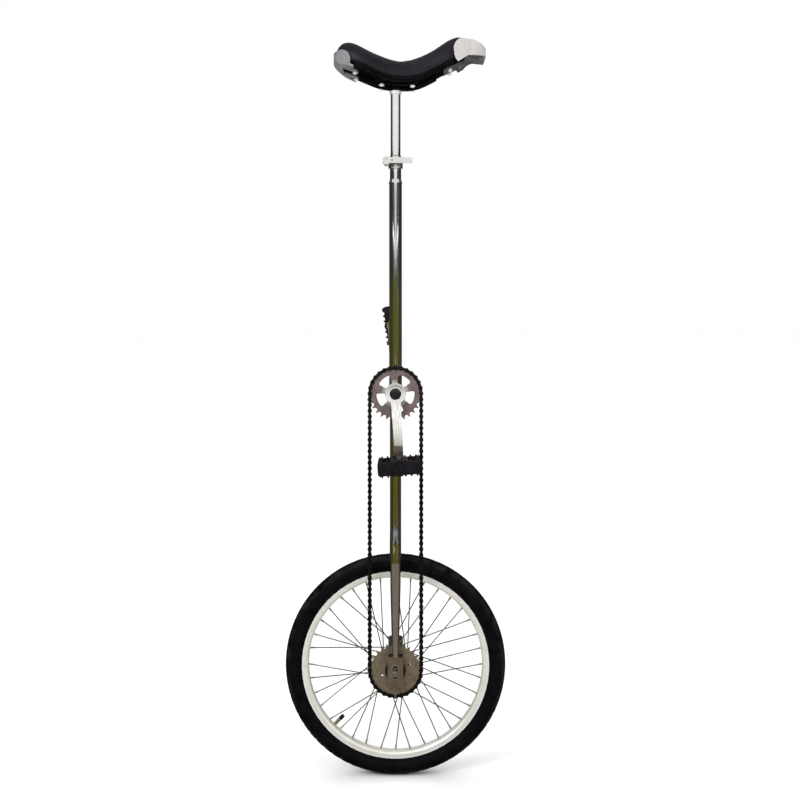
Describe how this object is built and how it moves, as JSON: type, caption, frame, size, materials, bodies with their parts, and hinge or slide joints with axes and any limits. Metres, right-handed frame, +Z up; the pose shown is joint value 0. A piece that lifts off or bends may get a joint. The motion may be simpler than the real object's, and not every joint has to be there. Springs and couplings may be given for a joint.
{
  "type": "unicycle",
  "caption": "Tall chain-driven unicycle: chrome tube frame with a fork over a small wheel, raised crank axle with pedals, quick-release seat clamp and a long curved saddle.",
  "frame": {"origin": "on the ground under the wheel axle, at the middle of the wheel", "axes": "+X is the way the rider faces, +Y is the rider's left, +Z is up; the chain is on -Y"},
  "size_m": [0.4938, 0.33, 1.6541],
  "materials": {
    "frame_chrome": "polished plating, lightly pitted",
    "post_chrome": "polished plating",
    "holder_steel": "zinc plated plate",
    "hardware_steel": "zinc plated",
    "dark_steel": "blackened",
    "ball_steel": "ground and polished",
    "clamp_alloy": "polished",
    "rim_alloy": "satin anodised",
    "hub_alloy": "polished",
    "crank_alloy": "polished",
    "spoke_steel": "drawn wire",
    "nipple_brass": "nickel plated",
    "sprocket_steel": "worn plating",
    "chain_plates": "oiled, dark",
    "chain_rollers": "oiled",
    "tyre_rubber": "moulded, slightly dusty",
    "tube_rubber": "smooth",
    "tape_rubber": "smooth",
    "cap_plastic": "moulded",
    "pedal_plastic": "moulded",
    "dust_cap_plastic": "moulded",
    "saddle_vinyl": "grained black vinyl",
    "saddle_foam": "foam rubber",
    "base_plastic": "moulded",
    "bracket_steel": "black paint",
    "front_plastic": "moulded, pale grey",
    "rear_plastic": "moulded, grey",
    "handle_plastic": "moulded"
  },
  "bodies": {
    "frame": {"upper_tube": "frame_chrome", "top_sleeve": "post_chrome", "seat_clamp_band": "clamp_alloy", "clamp_skewer": "hardware_steel", "clamp_nut": "hardware_steel", "bottom_bracket_shell": "frame_chrome", "bottom_bracket_cups": "hardware_steel", "bottom_bracket_balls": "ball_steel", "lower_tube": "frame_chrome", "right_fork_leg": "frame_chrome", "left_fork_leg": "frame_chrome", "right_axle_holder": "holder_steel", "left_axle_holder": "holder_steel", "holder_bolts": "dark_steel", "adjuster_eyes": "hardware_steel", "adjuster_caps": "holder_steel", "adjuster_nuts": "hardware_steel", "hub_axle": "hardware_steel", "axle_nuts": "hardware_steel", "axle_washers": "hardware_steel", "hub_cones": "hardware_steel", "hub_balls": "ball_steel", "chain_outer_links": "chain_plates", "chain_inner_links": "chain_plates", "chain_rollers": "chain_rollers"},
    "seat": {"seatpost": "post_chrome", "seat_bracket": "bracket_steel", "saddle_base": "base_plastic", "saddle_foam": "saddle_foam", "saddle_cover": "saddle_vinyl", "saddle_bolts": "hardware_steel", "saddle_nuts": "hardware_steel", "front_bumper": "front_plastic", "front_handle": "handle_plastic", "rear_bumper": "rear_plastic", "bumper_screws": "hardware_steel"},
    "clamp_lever": {"qr_lever": "clamp_alloy", "qr_cam_pin": "hardware_steel"},
    "wheel": {"tyre": "tyre_rubber", "inner_tube": "tube_rubber", "rim_tape": "tape_rubber", "rim": "rim_alloy", "spokes": "spoke_steel", "nipples": "nipple_brass", "hub_shell": "hub_alloy", "hub_sprocket": "sprocket_steel", "hub_lockring": "dark_steel", "valve_stem": "nipple_brass", "valve_cap": "cap_plastic"},
    "crankset": {"crank_axle": "hardware_steel", "right_crank": "crank_alloy", "left_crank": "crank_alloy", "chainring": "sprocket_steel", "crank_bolts": "hardware_steel", "dust_caps": "dust_cap_plastic", "pedal_spindles": "hardware_steel"},
    "right_pedal": {"right_pedal_body": "pedal_plastic", "right_pedal_end_cap": "cap_plastic"},
    "left_pedal": {"left_pedal_body": "pedal_plastic", "left_pedal_end_cap": "cap_plastic"}
  },
  "joints": [
    {"name": "wheel_spin", "type": "hinge", "parent": "frame", "child": "wheel", "pos_m": [0, 0, 0.247], "axis": [0, 1, 0], "continuous": true, "deforming": ["chain_outer_links", "chain_inner_links", "chain_rollers"]},
    {"name": "crank_spin", "type": "hinge", "parent": "frame", "child": "crankset", "pos_m": [0, 0, 0.8566], "axis": [0, 1, 0], "continuous": true},
    {"name": "right_pedal_spin", "type": "hinge", "parent": "crankset", "child": "right_pedal", "pos_m": [0.0089, 0, 0.70686], "axis": [0, 1, 0], "continuous": true},
    {"name": "left_pedal_spin", "type": "hinge", "parent": "crankset", "child": "left_pedal", "pos_m": [-0.0089, 0, 1.00634], "axis": [0, 1, 0], "continuous": true},
    {"name": "seat_height", "type": "slide", "parent": "frame", "child": "seat", "axis": [0, 0, 1], "range_m": [-0.125, 0.13]},
    {"name": "clamp_lever_turn", "type": "hinge", "parent": "frame", "child": "clamp_lever", "pos_m": [-0.02, -0.024, 1.3735], "axis": [0, 0, -1], "range_deg": [0, 90]}
  ],
  "couplings": [
    {"joint": "crank_spin", "follows": "wheel_spin", "ratio": 1}
  ]
}
